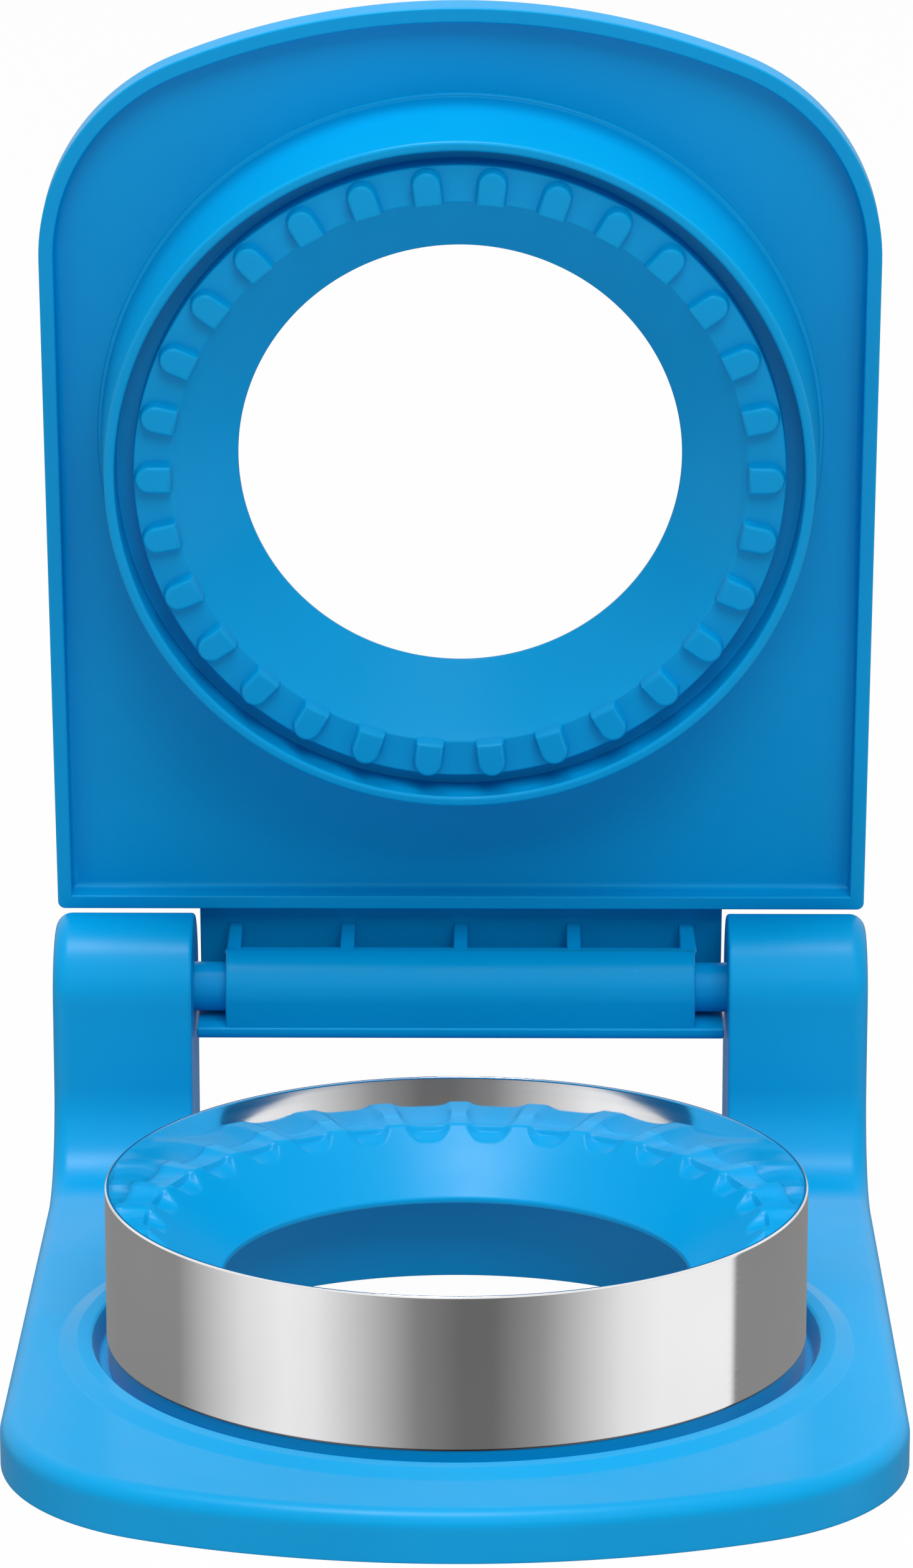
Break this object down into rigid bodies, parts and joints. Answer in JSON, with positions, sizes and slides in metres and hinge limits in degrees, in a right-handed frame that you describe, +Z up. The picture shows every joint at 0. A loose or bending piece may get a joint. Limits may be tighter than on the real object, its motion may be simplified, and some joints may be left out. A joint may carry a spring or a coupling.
{
  "type": "sandwich cutter and sealer",
  "caption": "Hinged hand press with a round steel cutting ring over a grooved crimping die and a matching padded die in the lid, which stands open.",
  "frame": {"origin": "centre of the overall footprint, on the surface that the press stands on", "axes": "+Z up, -Y toward the rounded front, +X to the right seen from the front"},
  "size_m": [0.1134, 0.1526, 0.1707],
  "materials": {
    "plastic": "satin moulded",
    "steel": "polished band"
  },
  "bodies": {
    "press_base": {"base": "plastic", "lower_die": "plastic", "cutter_ring": "steel"},
    "press_lid": {"lid": "plastic", "upper_die": "plastic", "hinge_pin_left": "plastic", "hinge_pin_right": "plastic"}
  },
  "joints": [
    {"name": "lid_hinge", "type": "hinge", "parent": "press_base", "child": "press_lid", "pos_m": [0, 0.06418, 0.0304], "axis": [-1, 0, 0], "range_deg": [-80.5, 78]}
  ]
}
